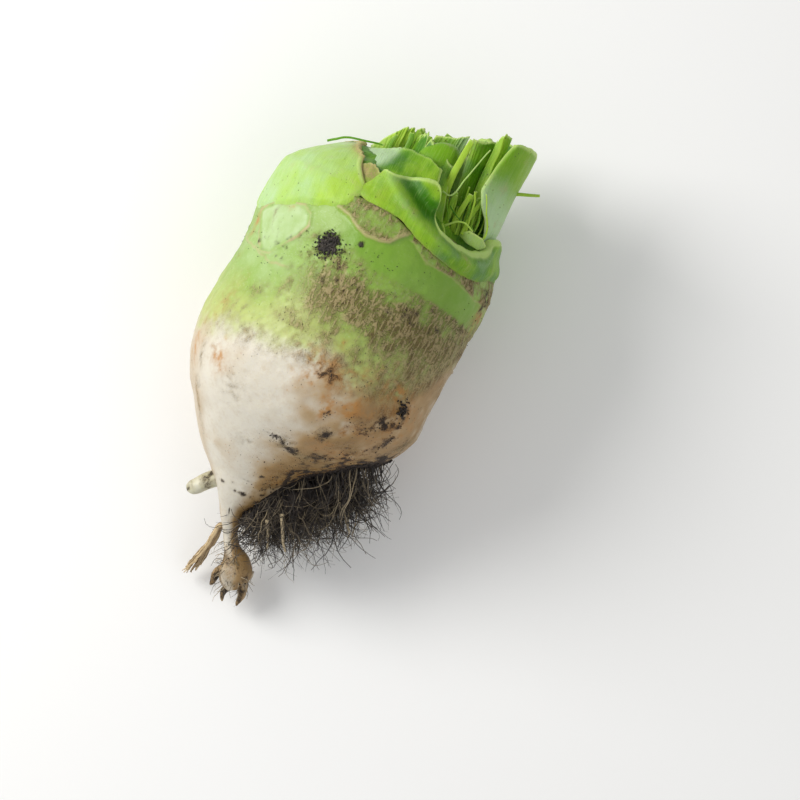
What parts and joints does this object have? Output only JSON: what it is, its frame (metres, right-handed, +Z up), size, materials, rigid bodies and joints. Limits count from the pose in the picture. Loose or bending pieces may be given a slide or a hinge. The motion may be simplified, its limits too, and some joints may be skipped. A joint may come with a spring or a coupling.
{
  "type": "root mustard",
  "caption": "Swollen white mustard root with a green shoulder, cut leaf bases at the crown, a thin tap root and a tuft of soil-bound rootlets, lying on its side.",
  "frame": {"origin": "on the flat resting spot under the middle of the swollen root", "axes": "+Y along the root from tap root to crown, +Z up away from the surface it lies on, +X to the right of that"},
  "size_m": [0.1227, 0.2235, 0.1065],
  "materials": {
    "skin": "fresh root skin, creamy white below and green on the shoulder, with soil and corky marks",
    "leaf": "smooth waxy green leaf base with fibrous cut ends",
    "soil": "dark crumbly soil bound by fine rootlets",
    "straw": "dry frayed root fibre"
  },
  "bodies": {
    "root": {"root_body": "skin", "leaf_base_front": "leaf", "leaf_base_left": "leaf", "leaf_base_back_right": "leaf", "leaf_base_back_left": "leaf", "leaf_base_inner_front": "leaf", "leaf_stalk_right": "leaf", "leaf_base_inner_left": "leaf", "leaf_stalk_back": "leaf", "leaf_stalk_far": "leaf", "leaf_stalk_middle": "leaf", "leaf_stalk_inner_left": "leaf", "leaf_stalk_inner_right": "leaf", "heart_stalks": "leaf", "soil_bound_rootlets": "soil", "frayed_side_root": "straw", "soil_crust_shoulder": "soil", "soil_crust_flank": "soil"}
  },
  "joints": []
}
